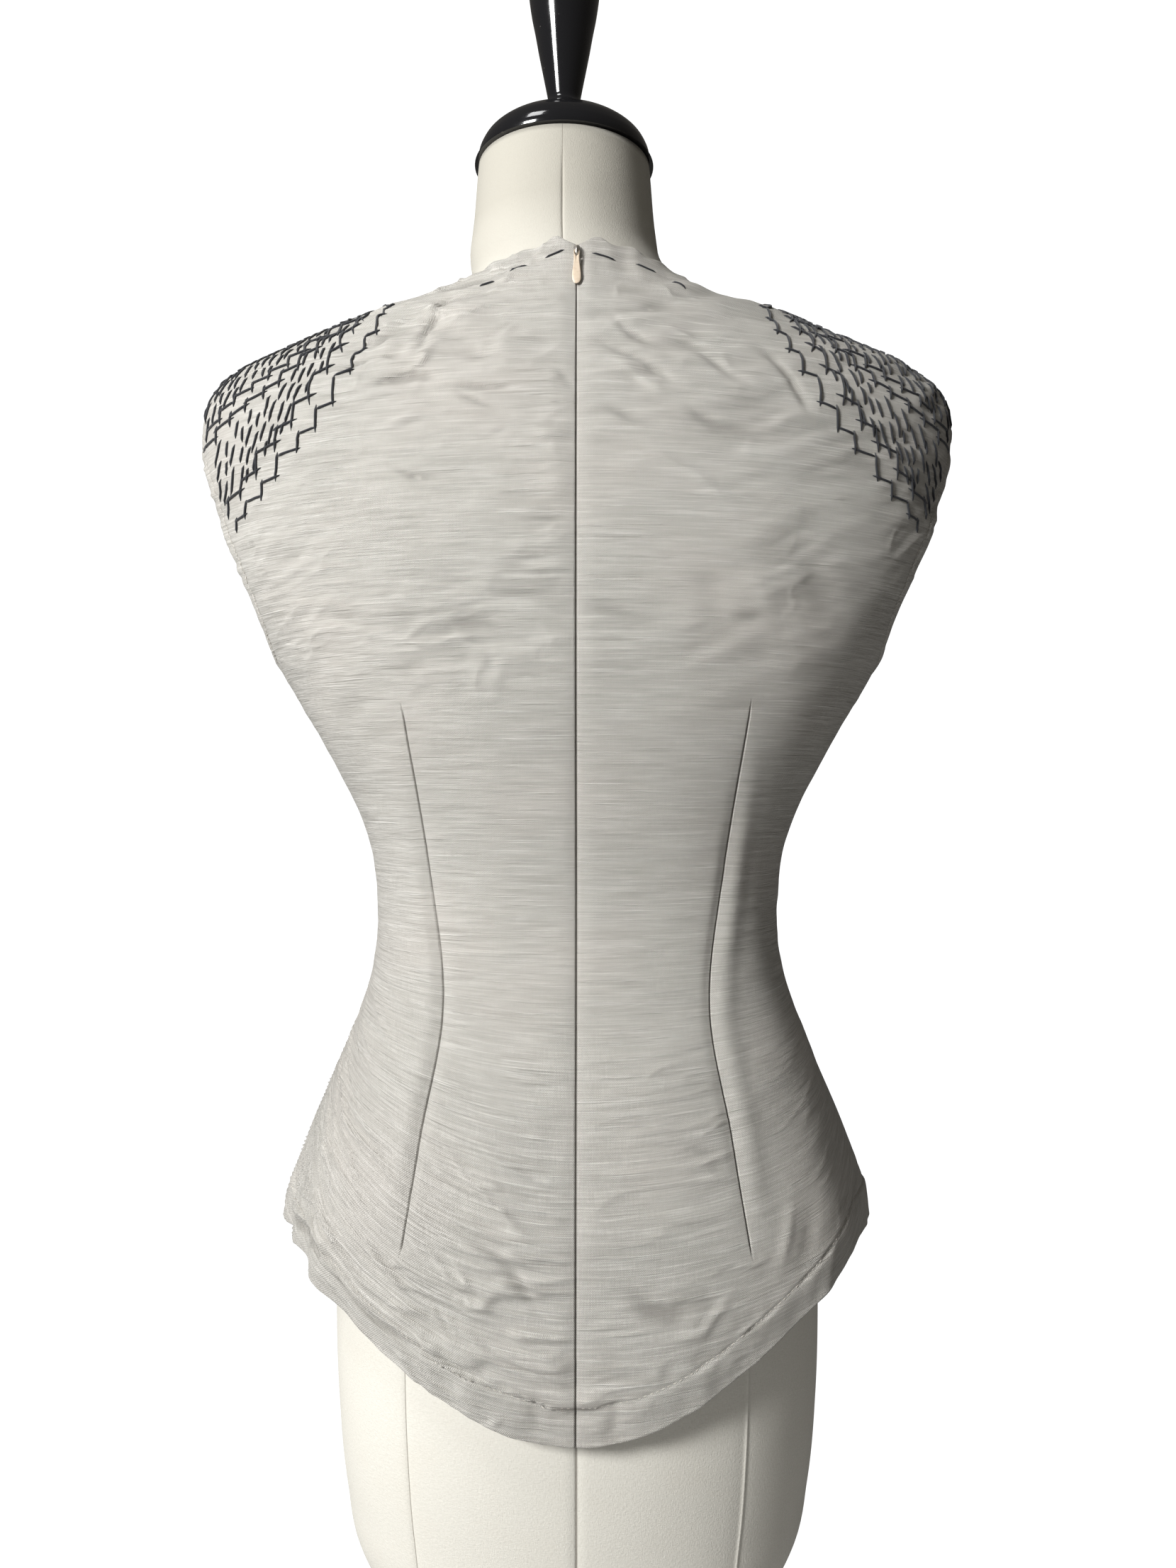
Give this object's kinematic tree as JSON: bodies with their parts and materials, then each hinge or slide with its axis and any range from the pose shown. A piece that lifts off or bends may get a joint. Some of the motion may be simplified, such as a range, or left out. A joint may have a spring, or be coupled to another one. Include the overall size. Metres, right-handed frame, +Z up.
{
  "type": "vest on dress form",
  "caption": "Fitted sleeveless vest with a pointed hem and a centre back zip, worn on a limbless dress form with a turned neck cap and finial",
  "frame": {"origin": "centre of the bounding box's underside: the flat face that the dress form stands on", "axes": "+Z up; the back of the vest, which the picture shows, faces -Y and its front faces +Y; +X is at the right of the picture"},
  "size_m": [0.435, 0.2562, 0.966],
  "materials": {
    "vest_cloth": "slubby silk and linen cloth with a soft sheen",
    "zip_tape": "woven tape",
    "zip_metal": "satin metal",
    "pull_enamel": "smooth beige enamel",
    "form_cover": "tight cream cotton cover",
    "black_lacquer": "turned wood with glossy black lacquer"
  },
  "bodies": {
    "garment": {"back_left": "vest_cloth", "back_right": "vest_cloth", "front": "vest_cloth", "armhole_facing_back_left": "vest_cloth", "armhole_facing_back_right": "vest_cloth", "armhole_facing_front_left": "vest_cloth", "armhole_facing_front_right": "vest_cloth", "zip_tape": "zip_tape", "zip_slider": "zip_metal", "form_body": "form_cover", "form_cap": "black_lacquer", "form_finial": "black_lacquer"},
    "pull": {"zip_pull": "pull_enamel"}
  },
  "joints": [
    {"name": "pull_hinge", "type": "hinge", "parent": "garment", "child": "pull", "pos_m": [0, -0.06955, 0.75813], "axis": [-1, 0, 0], "range_deg": [0, 165]}
  ]
}
